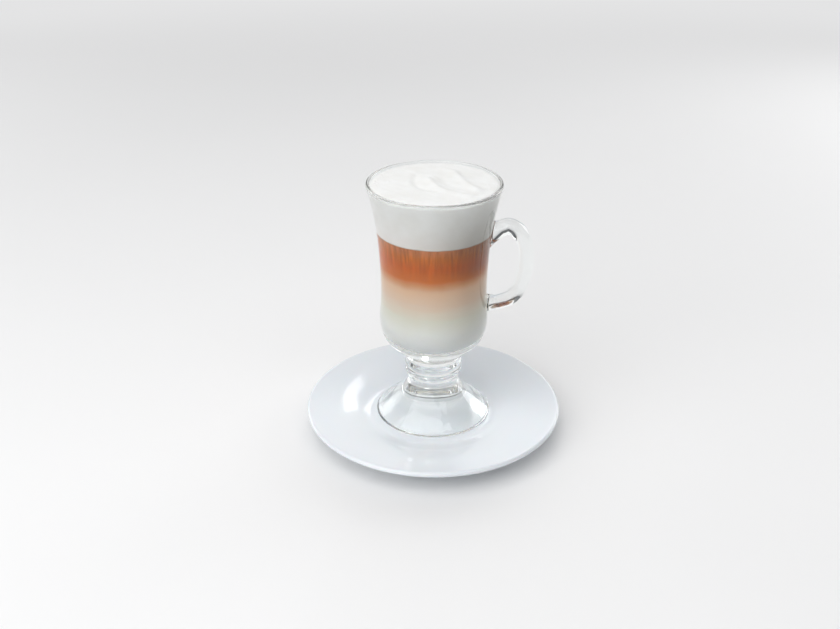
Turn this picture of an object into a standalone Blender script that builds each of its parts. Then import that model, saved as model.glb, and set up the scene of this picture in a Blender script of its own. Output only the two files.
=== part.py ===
"""Layered latte in a footed glass mug that stands on a white porcelain saucer.

Frame: +Z is up, and the origin is the middle of the saucer's foot ring, where it meets the table.
The mug's handle points along +X. Sizes are in millimetres, and MM turns them into metres.
"""

import math

import bmesh
import bpy
import numpy as np

MM = 0.001
CONTACT_GAP = 0.3

# Saucer
SAUCER_RADIUS = 77.0
SAUCER_HEIGHT = 15.0
WELL_TOP = 8.0
WELL_UNDERSIDE = 4.0
LIP_RADIUS = 1.5
SAUCER_SIDES = 64

# Stations of the saucer's top, as (radius, height), from the edge of its level well to its lip
SAUCER_TOP = [
    (37.5, WELL_TOP),
    (41.5, 8.75),
    (46.5, 10.1),
    (52.0, 11.4),
    (60.0, 12.9),
    (SAUCER_RADIUS - LIP_RADIUS, SAUCER_HEIGHT),
]
# Stations of its underside, from below the lip in to the outside of the foot ring
SAUCER_UNDERSIDE = [
    (60.0, 9.4),
    (50.0, 7.4),
    (42.5, 3.4),
    (41.5, 0.0),
]
# The inside of the foot ring, and the flat underside within it
FOOT_RING_INSIDE = [
    (38.0, 0.0),
    (36.8, WELL_UNDERSIDE),
    (0.0, WELL_UNDERSIDE),
]

# Glass mug: heights are measured from the plane it stands on
MUG_HEIGHT = 147.0
MUG_SETBACK = 3.0
RIM_RADIUS = 38.5
RIM_WALL = 2.2
RIM_ROUND = 0.8
HOLLOW_RADIUS = 32.2
HOLLOW_DEPTH = 15.5
MUG_SIDES = 48

# Handle: a bar of oval section whose roots flare where they join the bowl
HANDLE_THICK = 9.2
HANDLE_WIDTH = 12.0
HANDLE_SIDES = 16
HANDLE_RINGS = 28

# Drink: heights above the plane that the mug stands on
MILK_TOP = 93.4
COFFEE_TOP = 118.3
FOAM_LEVEL = 145.9
FOAM_EDGE_DIP = 0.9
FOAM_DOME = 0.8
FOAM_RINGS = 16
FOAM_SIDES = 64
# Soft ridges and creases that pouring left on the foam: (path from the mug's axis, height, width)
FOAM_STROKES = [
    ([(-10.5, 13.0), (-11.0, 3.0), (-9.0, -5.5), (-4.0, -10.5), (1.5, -13.5)], -1.0, 2.4),
    ([(-4.0, 5.0), (-1.0, -3.0), (3.9, -11.5), (11.0, -18.0), (19.0, -21.5)], 1.05, 2.6),
    ([(4.0, 10.0), (6.5, 0.5), (11.5, -8.5)], -0.6, 3.0),
    ([(6.0, 23.0), (11.0, 18.0), (14.0, 7.0), (18.5, -4.5), (24.0, -12.0)], 1.15, 2.8),
]

# Stations of the mug's outer side, as (radius, height), from the hollow's edge up to the lip
FOOT_AND_STEM = [
    (33.0, 0.0),
    (33.9, 0.3),
    (34.6, 1.3),
    (33.9, 2.6),
    (29.0, 6.1),
    (24.6, 9.6),
    (20.4, 13.4),
    (17.2, 17.2),
    (15.3, 20.0),
    (14.8, 22.4),
    (15.3, 25.0),
    (16.3, 27.2),
    (16.8, 28.8),
    (16.5, 30.6),
    (17.0, 32.4),
    (17.1, 34.2),
    (16.6, 36.2),
    (16.2, 37.4),
]
BOWL_OUTSIDE = [
    (16.7, 38.6),
    (17.8, 40.6),
    (20.7, 43.3),
    (25.2, 46.8),
    (29.2, 52.0),
    (31.3, 58.4),
    (31.9, 65.0),
    (31.2, 74.0),
    (30.9, 84.0),
    (31.2, 96.0),
    (31.9, 108.0),
    (33.0, 119.0),
    (34.9, 130.0),
    (37.0, 140.0),
]
# Stations of the wall inside, from the middle of the bowl's floor up to the lip
BOWL_INSIDE = [
    (0.0, 49.8),
    (9.0, 50.5),
    (17.0, 53.0),
    (23.0, 57.4),
    (26.9, 63.8),
    (28.1, 72.0),
    (28.0, 80.0),
    (27.9, 90.0),
    (28.5, 103.0),
    (29.5, 116.0),
    (31.6, 128.0),
    (34.4, 139.5),
    (RIM_RADIUS - RIM_WALL, MUG_HEIGHT - RIM_ROUND),
]
CUT_ABOVE_RIM = 5.0

# Stations of the handle's centre line: (radius, height, growth of thickness, growth of width)
HANDLE_LINE = [
    (27.0, 114.0, 2.1, 1.45),
    (32.6, 116.0, 1.55, 1.22),
    (37.2, 118.8, 1.14, 1.06),
    (42.4, 120.4, 1.0, 1.0),
    (48.4, 117.2, 1.0, 1.0),
    (51.9, 110.2, 1.0, 1.0),
    (53.2, 100.2, 1.0, 1.0),
    (52.2, 90.0, 0.97, 1.0),
    (49.2, 81.0, 0.9, 1.0),
    (44.0, 75.1, 0.83, 1.0),
    (38.2, 72.8, 0.82, 1.02),
    (32.4, 72.5, 1.0, 1.12),
    (27.0, 72.5, 1.35, 1.35),
]

# Finishes: (name, colour with its opacity, roughness, metallic value)
PORCELAIN = ("porcelain", (0.80, 0.835, 0.87, 1.0), 0.12, 0.0)
CLEAR_GLASS = ("clear_glass", (0.95, 0.97, 0.97, 0.35), 0.02, 0.0)
STEAMED_MILK = ("steamed_milk", (0.80, 0.76, 0.68, 1.0), 0.35, 0.0)
COFFEE = ("coffee", (0.54, 0.15, 0.03, 1.0), 0.35, 0.0)
FOAM = ("milk_foam", (0.86, 0.865, 0.855, 1.0), 0.6, 0.0)

# Edges that bend by more than this stay sharp
SHARP_EDGE = math.radians(35)
# Points of a bmesh that lie closer than this become one
MERGE_DISTANCE = 1e-4


def smooth_line(stations, per_span):
    """A Catmull-Rom curve through the stations, with per_span steps from one to the next."""
    knots = np.array(stations, float)
    ends = np.vstack([2 * knots[0] - knots[1], knots, 2 * knots[-1] - knots[-2]])
    steps = np.arange(per_span) / per_span
    t = steps[:, None]
    spans = []
    for a, b, c, d in zip(ends, ends[1:], ends[2:], ends[3:]):
        spans.append(
            0.5 * (2 * b + (c - a) * t + (2 * a - 5 * b + 4 * c - d) * t**2 + (3 * b - a - 3 * c + d) * t**3)
        )
    return np.vstack([*spans, knots[-1:]])


def quarter_round(centre, radius, start_deg, end_deg, steps=3):
    """Points of an arc in the (radius, height) plane."""
    angles = np.radians(np.linspace(start_deg, end_deg, steps + 1))
    return np.column_stack([centre[0] + radius * np.cos(angles), centre[1] + radius * np.sin(angles)])


def material(look):
    """A Principled material from (name, colour, roughness, metallic)."""
    name, colour, roughness, metallic = look
    made = bpy.data.materials.new(name)
    made.use_nodes = True
    shader = made.node_tree.nodes["Principled BSDF"]
    shader.inputs["Base Color"].default_value = colour
    shader.inputs["Alpha"].default_value = colour[3]
    shader.inputs["Roughness"].default_value = roughness
    shader.inputs["Metallic"].default_value = metallic
    return made


def add_object(name, bm, finish, place=(0.0, 0.0, 0.0)):
    """Turns a bmesh in millimetres into a smooth-shaded object that stands at place, in millimetres."""
    bmesh.ops.remove_doubles(bm, verts=bm.verts, dist=MERGE_DISTANCE)
    bmesh.ops.recalc_face_normals(bm, faces=bm.faces)
    bmesh.ops.scale(bm, vec=(MM, MM, MM), verts=bm.verts)
    mesh = bpy.data.meshes.new(name)
    bm.to_mesh(mesh)
    bm.free()
    mesh.shade_smooth()
    mesh.set_sharp_from_angle(angle=SHARP_EDGE)
    mesh.materials.append(finish)
    made = bpy.data.objects.new(name, mesh)
    made.location = [MM * value for value in place]
    bpy.context.scene.collection.objects.link(made)
    return made


def turned(section, sides):
    """The bmesh of a (radius, height) section turned about Z. A section that ends on the axis is closed there."""
    bm = bmesh.new()
    verts = [bm.verts.new((radius, 0.0, height)) for radius, height in section]
    edges = [bm.edges.new(pair) for pair in zip(verts, verts[1:])]
    if section[0][0] > 0:
        edges.append(bm.edges.new((verts[-1], verts[0])))
    bmesh.ops.spin(
        bm,
        geom=verts + edges,
        axis=(0, 0, 1),
        cent=(0, 0, 0),
        angle=2 * math.pi,
        steps=sides,
        use_merge=True,
    )
    return bm


def saucer_section():
    """The saucer's section: level well, cove, broad rim with a rounded lip, and a foot ring below."""
    lip = quarter_round((SAUCER_RADIUS - LIP_RADIUS, SAUCER_HEIGHT - LIP_RADIUS), LIP_RADIUS, 60, -90, 4)
    top, underside = smooth_line(SAUCER_TOP, 2), smooth_line(SAUCER_UNDERSIDE, 2)
    return np.vstack([[(0.0, WELL_TOP)], top, lip, underside, FOOT_RING_INSIDE])


def mug_outside():
    """The mug's outer section, from the middle of the hollow under its foot up to the lip and in to the axis."""
    hollow = [
        (HOLLOW_RADIUS * share, HOLLOW_DEPTH * (1 - share**2)) for share in np.linspace(0, 1, 7)
    ]
    lip = quarter_round((RIM_RADIUS - RIM_ROUND, MUG_HEIGHT - RIM_ROUND), RIM_ROUND, 0, 90)
    return np.vstack([hollow, FOOT_AND_STEM, BOWL_OUTSIDE, lip, [(0.0, MUG_HEIGHT)]])


def cavity_section():
    """The section of the space inside the bowl, run on above the lip so that it cuts clean through."""
    inner_lip = quarter_round(
        (RIM_RADIUS - RIM_WALL + RIM_ROUND, MUG_HEIGHT - RIM_ROUND), RIM_ROUND, 180, 90
    )
    above = MUG_HEIGHT + CUT_ABOVE_RIM
    return np.vstack([BOWL_INSIDE[:-1], inner_lip, [(inner_lip[-1][0], above), (0.0, above)]])


def handle_mesh():
    """The handle: ovals set square to a smooth centre line in the XZ plane, joined ring to ring."""
    line = smooth_line(HANDLE_LINE, 4)
    spaced = np.linspace(0, len(line) - 1, HANDLE_RINGS)
    line = np.column_stack([np.interp(spaced, np.arange(len(line)), column) for column in line.T])
    along = np.gradient(line[:, :2], axis=0)
    along /= np.linalg.norm(along, axis=1)[:, None]
    across = np.column_stack([along[:, 1], -along[:, 0]])
    bm = bmesh.new()
    rings = []
    for (radius, height, thick, wide), normal in zip(line, across):
        ring = []
        for turn in np.arange(HANDLE_SIDES) * 2 * math.pi / HANDLE_SIDES:
            out = HANDLE_THICK / 2 * thick * math.cos(turn)
            side = HANDLE_WIDTH / 2 * wide * math.sin(turn)
            ring.append(bm.verts.new((radius + out * normal[0], side, height + out * normal[1])))
        rings.append(ring)
    for ring, following in zip(rings, rings[1:]):
        for i in range(HANDLE_SIDES):
            j = (i + 1) % HANDLE_SIDES
            bm.faces.new((ring[i], ring[j], following[j], following[i]))
    bm.faces.new(rings[0])
    bm.faces.new(rings[-1])
    return bm


def boolean(target, tool, operation):
    """Joins or cuts target with tool for good, and removes the tool."""
    modifier = target.modifiers.new(operation.lower(), "BOOLEAN")
    modifier.operation = operation
    modifier.solver = "EXACT"
    modifier.object = tool
    bpy.context.view_layer.update()
    graph = bpy.context.evaluated_depsgraph_get()
    made = bpy.data.meshes.new_from_object(target.evaluated_get(graph))
    target.modifiers.remove(modifier)
    target.data = made
    bpy.data.objects.remove(tool)


def build_mug(stand):
    """The mug in one piece: turned foot, stem and bowl, with the handle joined on and the cavity cut out."""
    glass = material(CLEAR_GLASS)
    mug = add_object("glass_mug", turned(mug_outside(), MUG_SIDES), glass, stand)
    boolean(mug, add_object("handle_tool", handle_mesh(), glass, stand), "UNION")
    boolean(mug, add_object("cavity_tool", turned(cavity_section(), MUG_SIDES), glass, stand), "DIFFERENCE")


def drink_wall():
    """The line that the drink follows inside the bowl, one contact gap clear of the glass."""
    wall = np.array(BOWL_INSIDE)
    along = np.gradient(wall, axis=0)
    along /= np.linalg.norm(along, axis=1)[:, None]
    inward = np.column_stack([-along[:, 1], along[:, 0]])
    clear = wall + CONTACT_GAP * inward
    clear[0, 0] = 0.0
    return clear


def layer_section(wall, low, high):
    """The section of the layer between two heights, with the bowl's own line for its side."""
    heights = wall[:, 1]
    low = max(low, heights[0])
    side = wall[(heights > low + 0.5) & (heights < high - 0.5)]
    ends = [(np.interp(height, heights, wall[:, 0]), height) for height in (low, high)]
    section = np.vstack([[ends[0]], side, [ends[1]], [(0.0, high)]])
    if section[0][0] > 0:
        section = np.vstack([[(0.0, low)], section])
    return section


def off_path(x, y, path):
    """How far a point lies from a smooth line through the path's stations."""
    line = smooth_line(path, 6)
    start, step = line[:-1], np.diff(line, axis=0)
    along = np.clip((([x, y] - start) * step).sum(axis=1) / (step**2).sum(axis=1), 0, 1)
    return np.linalg.norm(start + along[:, None] * step - [x, y], axis=1).min()


def foam_relief(x, y, edge):
    """How far the foam stands above its level: a low dome with soft strokes that fade out towards the wall."""
    inner = max(0.0, 1 - (math.hypot(x, y) / edge) ** 2)
    strokes = sum(
        height * math.exp(-((off_path(x, y, path) / width) ** 2)) for path, height, width in FOAM_STROKES
    )
    return FOAM_DOME * inner + min(1.0, 2 * inner) * strokes


def build_foam(wall, stand):
    """The foam: a turned layer whose top is divided into rings and lifted by the relief."""
    section = layer_section(wall, COFFEE_TOP + CONTACT_GAP, FOAM_LEVEL - FOAM_EDGE_DIP)[:-1]
    edge = section[-1][0]
    top = [(edge * share, FOAM_LEVEL) for share in np.linspace(1, 0, FOAM_RINGS + 1)[1:]]
    bm = turned(np.vstack([section, top]), FOAM_SIDES)
    for vert in bm.verts:
        if vert.co.z > FOAM_LEVEL - FOAM_EDGE_DIP / 2:
            vert.co.z += foam_relief(vert.co.x, vert.co.y, edge)
    add_object("milk_foam", bm, material(FOAM), stand)


def build_drink(stand):
    """The three layers of the drink, each a solid of its own."""
    wall = drink_wall()
    milk = turned(layer_section(wall, 0.0, MILK_TOP), MUG_SIDES)
    add_object("milk_layer", milk, material(STEAMED_MILK), stand)
    coffee = turned(layer_section(wall, MILK_TOP + CONTACT_GAP, COFFEE_TOP), MUG_SIDES)
    add_object("coffee_layer", coffee, material(COFFEE), stand)
    build_foam(wall, stand)


def main():
    """Clears the scene and builds the saucer, the mug and the drink."""
    for old in list(bpy.data.objects):
        bpy.data.objects.remove(old)
    stand = (0.0, MUG_SETBACK, WELL_TOP + CONTACT_GAP)
    add_object("saucer", turned(saucer_section(), SAUCER_SIDES), material(PORCELAIN))
    build_mug(stand)
    build_drink(stand)


main()
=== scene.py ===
"""The looks of a layered latte in a footed glass mug on a white porcelain saucer.

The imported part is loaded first, and every piece is built where its node stands. Shapes are worked out in
millimetres as numpy arrays, and Surface.to_object turns them into meshes in metres, in the part's own frame:
+Z is up, and the mug's handle points along +X.
"""

import logging
import math
from dataclasses import dataclass, field
from enum import Enum

import bpy
import numpy as np
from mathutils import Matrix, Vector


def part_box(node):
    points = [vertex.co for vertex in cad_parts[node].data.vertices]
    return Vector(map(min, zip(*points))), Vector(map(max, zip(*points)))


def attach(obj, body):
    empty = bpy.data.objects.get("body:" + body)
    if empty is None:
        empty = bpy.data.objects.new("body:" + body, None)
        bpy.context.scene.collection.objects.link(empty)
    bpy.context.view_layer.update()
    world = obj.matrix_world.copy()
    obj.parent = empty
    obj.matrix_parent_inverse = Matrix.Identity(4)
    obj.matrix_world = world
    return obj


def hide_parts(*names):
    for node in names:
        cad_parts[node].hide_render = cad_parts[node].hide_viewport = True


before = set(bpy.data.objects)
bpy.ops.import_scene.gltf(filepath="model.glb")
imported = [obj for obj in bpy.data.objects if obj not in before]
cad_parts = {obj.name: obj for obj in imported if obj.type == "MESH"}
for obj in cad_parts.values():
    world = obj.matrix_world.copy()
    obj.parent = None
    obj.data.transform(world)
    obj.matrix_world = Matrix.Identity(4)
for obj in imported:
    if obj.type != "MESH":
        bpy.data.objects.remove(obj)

MM = 0.001
BODY = "root"
RANDOM_SEED = 11
FULL_TURN = 2 * math.pi
SHARP_EDGE = math.radians(50.0)
STEPS_A_SPAN = 60
DISC_RINGS = 7

# Sockets of the colour Mix node, whose names are shared by other kinds of value
MIX_FACTOR, MIX_A, MIX_B, MIX_RESULT = 0, 6, 7, 2

Colour = tuple[float, float, float]
Place = tuple[float, float, float]
Range = tuple[float, float]
Stations = tuple[tuple[float, float], ...]
Socket = bpy.types.NodeSocket
Material = bpy.types.Material

log = logging.getLogger("latte")


class Slot(Enum):
    """The record's material slots."""

    PORCELAIN = "porcelain"
    CLEAR_GLASS = "clear_glass"
    STEAMED_MILK = "steamed_milk"
    COFFEE = "coffee"
    MILK_FOAM = "milk_foam"


class RootSide(Enum):
    """Which of the handle's two roots: the value is the way, up or down, to the handle's outer side."""

    UPPER = 1.0
    LOWER = -1.0


@dataclass
class Surface:
    """A mesh as arrays: points in millimetres, and faces as rows of point numbers."""

    points: np.ndarray
    quads: np.ndarray
    triangles: np.ndarray = field(default_factory=lambda: np.zeros((0, 3), int))

    def moved(self, offset: np.ndarray) -> "Surface":
        """This surface moved by an offset in millimetres."""
        return Surface(self.points + offset, self.quads, self.triangles)

    def to_object(self, name: str) -> bpy.types.Object:
        """Makes the mesh object, smooth but for its sharp edges.

        Args:
            name: the piece's name.

        Returns:
            The object, at the origin, with its place in its mesh.
        """
        mesh = bpy.data.meshes.new(name)
        corners = np.concatenate([self.quads.ravel(), self.triangles.ravel()])
        sizes = np.concatenate([np.full(len(self.quads), 4), np.full(len(self.triangles), 3)])
        mesh.vertices.add(len(self.points))
        mesh.vertices.foreach_set("co", (self.points * MM).astype(np.float32).ravel())
        mesh.loops.add(len(corners))
        mesh.loops.foreach_set("vertex_index", corners.astype(np.int32))
        mesh.polygons.add(len(sizes))
        mesh.polygons.foreach_set("loop_start", (np.cumsum(sizes) - sizes).astype(np.int32))
        mesh.update(calc_edges=True)
        mesh.validate()
        mesh.shade_smooth()
        mesh.set_sharp_from_angle(angle=SHARP_EDGE)
        made = bpy.data.objects.new(name, mesh)
        bpy.context.scene.collection.objects.link(made)
        return made


def cubic(
    t: np.ndarray, start: np.ndarray, leaving: np.ndarray, end: np.ndarray, arriving: np.ndarray
) -> np.ndarray:
    """The cubic that leaves its start with one slope and arrives at its end with another.

    Args:
        t: shares of the way, from 0 to 1.
        start: where it starts.
        leaving: its slope there.
        end: where it ends.
        arriving: its slope there.

    Returns:
        The points at those shares.
    """
    return (
        (2 * t**3 - 3 * t**2 + 1) * start
        + (t**3 - 2 * t**2 + t) * leaving
        + (3 * t**2 - 2 * t**3) * end
        + (t**3 - t**2) * arriving
    )


def spaced(line: np.ndarray, count: int) -> np.ndarray:
    """Points equally far apart along a line.

    Args:
        line: the line's points, one in a row.
        count: how many points to return.

    Returns:
        An array of count points, whose first and last are the line's own.
    """
    run = np.concatenate([[0.0], np.cumsum(np.linalg.norm(np.diff(line, axis=0), axis=1))])
    wanted = np.linspace(0.0, run[-1], count)
    return np.column_stack([np.interp(wanted, run, column) for column in line.T])


def smooth_curve(stations: Stations, count: int) -> np.ndarray:
    """A smooth line through stations, as points that are equally far apart along it.

    Each span is a cubic whose slopes at both ends come from the stations before and
    after, weighted by the square root of how far apart they lie, so that uneven stations make no loops.

    Args:
        stations: the points to pass.
        count: how many points to return.

    Returns:
        An array of count points.
    """
    knots = np.array(stations, float)
    ends = np.vstack([2 * knots[0] - knots[1], knots, 2 * knots[-1] - knots[-2]])
    gaps = np.sqrt(np.linalg.norm(np.diff(ends, axis=0), axis=1))[:, None]
    before, here, after = gaps[:-2], gaps[1:-1], gaps[2:]
    a, b, c, d = ends[:-3], ends[1:-2], ends[2:-1], ends[3:]
    slope_b = (b - a) / before - (c - a) / (before + here) + (c - b) / here
    slope_c = (c - b) / here - (d - b) / (here + after) + (d - c) / after
    t = (np.arange(STEPS_A_SPAN) / STEPS_A_SPAN)[None, :, None]
    line = cubic(t, *(part[:, None, :] for part in (b, slope_b * here, c, slope_c * here)))
    return spaced(np.vstack([line.reshape(-1, 2), knots[-1:]]), count)


def directions(line: np.ndarray) -> np.ndarray:
    """The unit direction of a line at each of its points."""
    along = np.gradient(line, axis=0)
    return along / np.linalg.norm(along, axis=1)[:, None]


def arc(centre: tuple[float, float], radius: float, from_deg: float, to_deg: float, steps: int) -> np.ndarray:
    """Points of an arc in the plane of radius and height.

    Args:
        centre: the arc's centre.
        radius: its radius.
        from_deg: the first point's angle, counted from the outward direction towards up.
        to_deg: the last point's angle.
        steps: how many steps it takes.

    Returns:
        An array of steps + 1 points.
    """
    angles = np.radians(np.linspace(from_deg, to_deg, steps + 1))
    return np.column_stack([centre[0] + radius * np.cos(angles), centre[1] + radius * np.sin(angles)])


def ring_quads(rings: int, columns: int) -> np.ndarray:
    """Quads between successive closed rings of a grid that is numbered ring by ring.

    Args:
        rings: how many rings there are.
        columns: points in a ring.

    Returns:
        An array with a quad in each row, whose outside is on the right of the rings' direction.
    """
    ring, column = np.meshgrid(np.arange(rings - 1), np.arange(columns), indexing="ij")
    here, following = ring * columns + column, ring * columns + (column + 1) % columns
    return np.stack([here, following, following + columns, here + columns], axis=-1).reshape(-1, 4)


def around(radius: np.ndarray, height: np.ndarray, poles: tuple[float, float]) -> Surface:
    """A closed surface from rings about Z: a point is (r cos a, r sin a, h), with a the angle of its column.

    The rings run so that the outside is on their right: up an outer side and down an inner one.

    Args:
        radius: each point's radius, with a ring in each row and a column for each angle.
        height: each point's height, laid out in the same way.
        poles: the heights of the two points on the axis that close the first and the last ring.

    Returns:
        The closed surface. Its points are the rings in order, then the first pole, then the last.
    """
    rings, columns = radius.shape
    angles = np.arange(columns) * FULL_TURN / columns
    grid = np.stack([radius * np.cos(angles), radius * np.sin(angles), height], axis=-1).reshape(-1, 3)
    ends = np.array([[0.0, 0.0, poles[0]], [0.0, 0.0, poles[1]]])
    column = np.arange(columns)
    following = (column + 1) % columns
    last = (rings - 1) * columns
    first_pole, last_pole = np.full(columns, len(grid)), np.full(columns, len(grid) + 1)
    fans = [
        np.column_stack([first_pole, following, column]),
        np.column_stack([last_pole, last + column, last + following]),
    ]
    return Surface(np.vstack([grid, ends]), ring_quads(rings, columns), np.vstack(fans))


def turned(section: np.ndarray, columns: int) -> Surface:
    """Turns a section about Z.

    Args:
        section: points (radius, height), whose first and last lie on the axis.
        columns: how many columns go round.

    Returns:
        The closed surface.
    """
    whole = np.ones(columns)
    return around(section[1:-1, :1] * whole, section[1:-1, 1:] * whole, (section[0, 1], section[-1, 1]))


def rgba(colour: Colour) -> tuple[float, float, float, float]:
    """A colour with full alpha."""
    return (*colour, 1.0)


class NodeGraph:
    """The nodes of a material, a world or a group, added and wired by short calls."""

    def __init__(self, tree: bpy.types.NodeTree) -> None:
        """Starts on an empty tree."""
        self.tree = tree
        self.tree.nodes.clear()

    def add(self, kind: str, values: dict | None = None, **settings: object) -> bpy.types.Node:
        """Adds a node.

        Args:
            kind: the node's type, as Blender names it after "ShaderNode".
            values: a plain value or an output socket for each input, by name or number. A colour has three
                numbers.
            settings: the node's own properties.

        Returns:
            The node.
        """
        node = self.tree.nodes.new("ShaderNode" + kind)
        for name, value in settings.items():
            setattr(node, name, value)
        for key, value in (values or {}).items():
            if isinstance(value, Socket):
                self.tree.links.new(value, node.inputs[key])
            else:
                coloured = node.inputs[key].type == "RGBA"
                node.inputs[key].default_value = rgba(value) if coloured else value
        return node

    def group(self, made: bpy.types.NodeTree, values: dict) -> Socket:
        """Places a node group with its own values, and returns what it puts out."""
        return self.add("Group", values, node_tree=made).outputs[0]

    def mix(self, share: object, first: object, second: object, blend: str = "MIX") -> Socket:
        """Mixes two colours.

        Args:
            share: the second colour's share, as a number or a socket.
            first: the colour at 0.
            second: the colour at 1.
            blend: how the second is laid on the first.

        Returns:
            The mixed colour's socket.
        """
        values = {MIX_FACTOR: share, MIX_A: first, MIX_B: second}
        return self.add("Mix", values, data_type="RGBA", blend_type=blend).outputs[MIX_RESULT]

    def math(self, operation: str, *values: object) -> Socket:
        """A sum or product of numbers and sockets."""
        return self.add("Math", dict(enumerate(values)), operation=operation).outputs[0]

    def mapped(
        self, value: Socket, reach: tuple[object, object], onto: Range = (0.0, 1.0), smooth: bool = False
    ) -> Socket:
        """Maps a value from one range onto another, and holds it at the ends.

        Args:
            value: the value.
            reach: where it starts and where it ends.
            onto: what it becomes there.
            smooth: whether it eases in and out.

        Returns:
            The mapped value's socket.
        """
        values = {"Value": value, "From Min": reach[0], "From Max": reach[1]}
        values |= {"To Min": onto[0], "To Max": onto[1]}
        kind = "SMOOTHSTEP" if smooth else "LINEAR"
        return self.add("MapRange", values, interpolation_type=kind).outputs[0]

    def place(self) -> Socket:
        """Where the shaded point lies, in the object's own coordinates."""
        return self.add("TexCoord").outputs["Object"]

    def parts(self, place: Socket) -> bpy.types.NodeOutputs:
        """A place's X, Y and Z."""
        return self.add("SeparateXYZ", {0: place}).outputs

    def noise(self, place: Socket, scale: object, detail: float) -> Socket:
        """A noise field over a place, from 0 to 1."""
        return self.add("TexNoise", {"Vector": place, "Scale": scale, "Detail": detail}).outputs["Fac"]

    def lit(self, path: str) -> Socket:
        """Whether the light is on a kind of path, as 0 or 1."""
        return self.add("LightPath").outputs[path]

    def blend(self, share: object, first: Socket, second: Socket) -> Socket:
        """Mixes two shaders, with the second's share given."""
        return self.add("MixShader", {0: share, 1: first, 2: second}).outputs[0]


class GroupGraph(NodeGraph):
    """The nodes of a shader node group with named inputs and outputs."""

    def __init__(self, name: str, inputs: dict[str, object]) -> None:
        """Starts the group.

        Args:
            name: the group's name.
            inputs: each input's default: one number, or three for a colour.
        """
        super().__init__(bpy.data.node_groups.new(name, "ShaderNodeTree"))
        for label, default in inputs.items():
            coloured = isinstance(default, tuple)
            made = self._socket(label, "INPUT", coloured)
            made.default_value = rgba(default) if coloured else default
        self.given = self.tree.nodes.new("NodeGroupInput").outputs

    def _socket(self, label: str, way: str, coloured: bool) -> bpy.types.NodeTreeInterfaceSocket:
        """Adds a named socket to the group's outside, for a colour or a number."""
        kind = "NodeSocketColor" if coloured else "NodeSocketFloat"
        return self.tree.interface.new_socket(label, in_out=way, socket_type=kind)

    def put_out(self, label: str, result: Socket) -> bpy.types.NodeTree:
        """Gives the group its output.

        Args:
            label: the output's name.
            result: the socket that feeds it.

        Returns:
            The finished group.
        """
        self._socket(label, "OUTPUT", result.type == "RGBA")
        taken = self.tree.nodes.new("NodeGroupOutput")
        self.tree.links.new(result, taken.inputs[label])
        return self.tree


class NodeGroups:
    """The node groups that several finishes share, each built once."""

    def __init__(self) -> None:
        """Builds the groups."""
        self.cloudy_tone = self._cloudy_tone()
        self.level_share = self._level_share()
        self.fine_relief = self._fine_relief()

    @staticmethod
    def _cloudy_tone() -> bpy.types.NodeTree:
        """A colour that drifts between two tones in soft clouds: a noise field, stretched, picks the share.

        Returns:
            The group.
        """
        grey = (0.8, 0.8, 0.8)
        graph = GroupGraph("cloudy_tone", {"Tone": grey, "Other Tone": grey, "Scale": 60.0, "Stretch": 1.0})
        stretch = graph.add("CombineXYZ", {"X": 1.0, "Y": 1.0, "Z": graph.given["Stretch"]}).outputs[0]
        spread = graph.add("VectorMath", {0: graph.place(), 1: stretch}, operation="MULTIPLY").outputs[0]
        noise = graph.noise(spread, graph.given["Scale"], detail=4.0)
        share = graph.mapped(noise, (0.35, 0.65))
        return graph.put_out("Color", graph.mix(share, graph.given["Tone"], graph.given["Other Tone"]))

    @staticmethod
    def _level_share() -> bpy.types.NodeTree:
        """How far up a point lies between two heights, from 0 to 1. The height is first warped by noise
        that is drawn out along Z, so that levels waver more than they tilt.

        Returns:
            The group.
        """
        inputs = {"From Height": 0.08, "To Height": 0.10, "Waviness": 0.001, "Scale": 60.0}
        graph = GroupGraph("level_share", inputs)
        place, drawn_out = graph.place(), (1.0, 1.0, 0.35)
        spread = graph.add("VectorMath", {0: place, 1: drawn_out}, operation="MULTIPLY").outputs[0]
        centred = graph.math("SUBTRACT", graph.noise(spread, graph.given["Scale"], detail=3.0), 0.5)
        warped = graph.math("MULTIPLY_ADD", centred, graph.given["Waviness"], graph.parts(place)["Z"])
        share = graph.mapped(warped, (graph.given["From Height"], graph.given["To Height"]))
        return graph.put_out("Share", share)

    @staticmethod
    def _fine_relief() -> bpy.types.NodeTree:
        """A height for Bump: broad noise plus fine round cells, each with its own depth in metres.

        Returns:
            The group.
        """
        inputs = {"Noise Scale": 200.0, "Noise Depth": 0.0001, "Cell Scale": 1500.0, "Cell Depth": 0.00002}
        graph = GroupGraph("fine_relief", inputs)
        place = graph.place()
        noise = graph.noise(place, graph.given["Noise Scale"], detail=3.0)
        values = {"Vector": place, "Scale": graph.given["Cell Scale"]}
        cells = graph.add("TexVoronoi", values, feature="SMOOTH_F1")
        broad = graph.math("MULTIPLY", noise, graph.given["Noise Depth"])
        both = graph.math("MULTIPLY_ADD", cells.outputs["Distance"], graph.given["Cell Depth"], broad)
        return graph.put_out("Height", both)


@dataclass(frozen=True)
class Level:
    """A soft edge between two heights in metres, which wavers by a noise field of its own scale."""

    low: float
    high: float
    waviness: float
    scale: float


@dataclass(frozen=True)
class Relief:
    """Fine relief: depths are in metres, scales in features to a metre."""

    noise_scale: float
    noise_depth: float
    cell_scale: float
    cell_depth: float
    strength: float


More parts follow.
